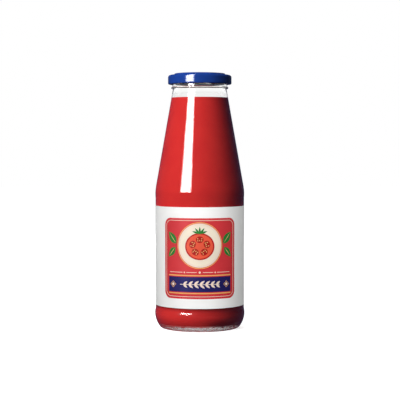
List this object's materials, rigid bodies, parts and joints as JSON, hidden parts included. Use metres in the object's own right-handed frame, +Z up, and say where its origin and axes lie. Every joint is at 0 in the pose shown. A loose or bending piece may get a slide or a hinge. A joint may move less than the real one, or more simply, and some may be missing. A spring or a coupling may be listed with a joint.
{
  "type": "passata bottle",
  "caption": "Tall clear glass bottle of tomato passata with a long tapered neck, a paper wrap label and a twist-off metal lid.",
  "frame": {"origin": "centre of the base, on the plane that the bottle stands on", "axes": "+Z up the bottle's axis to its lid, -Y out of the front of the label"},
  "size_m": [0.0794, 0.0794, 0.2245],
  "materials": {
    "glass": "clear flint glass",
    "passata": "smooth sieved tomato, stands in for food",
    "label_paper": "coated white paper",
    "lid_enamel": "gloss enamel"
  },
  "bodies": {
    "root": {"glass_bottle": "glass", "passata": "passata", "label": "label_paper", "lid": "lid_enamel"}
  },
  "joints": []
}
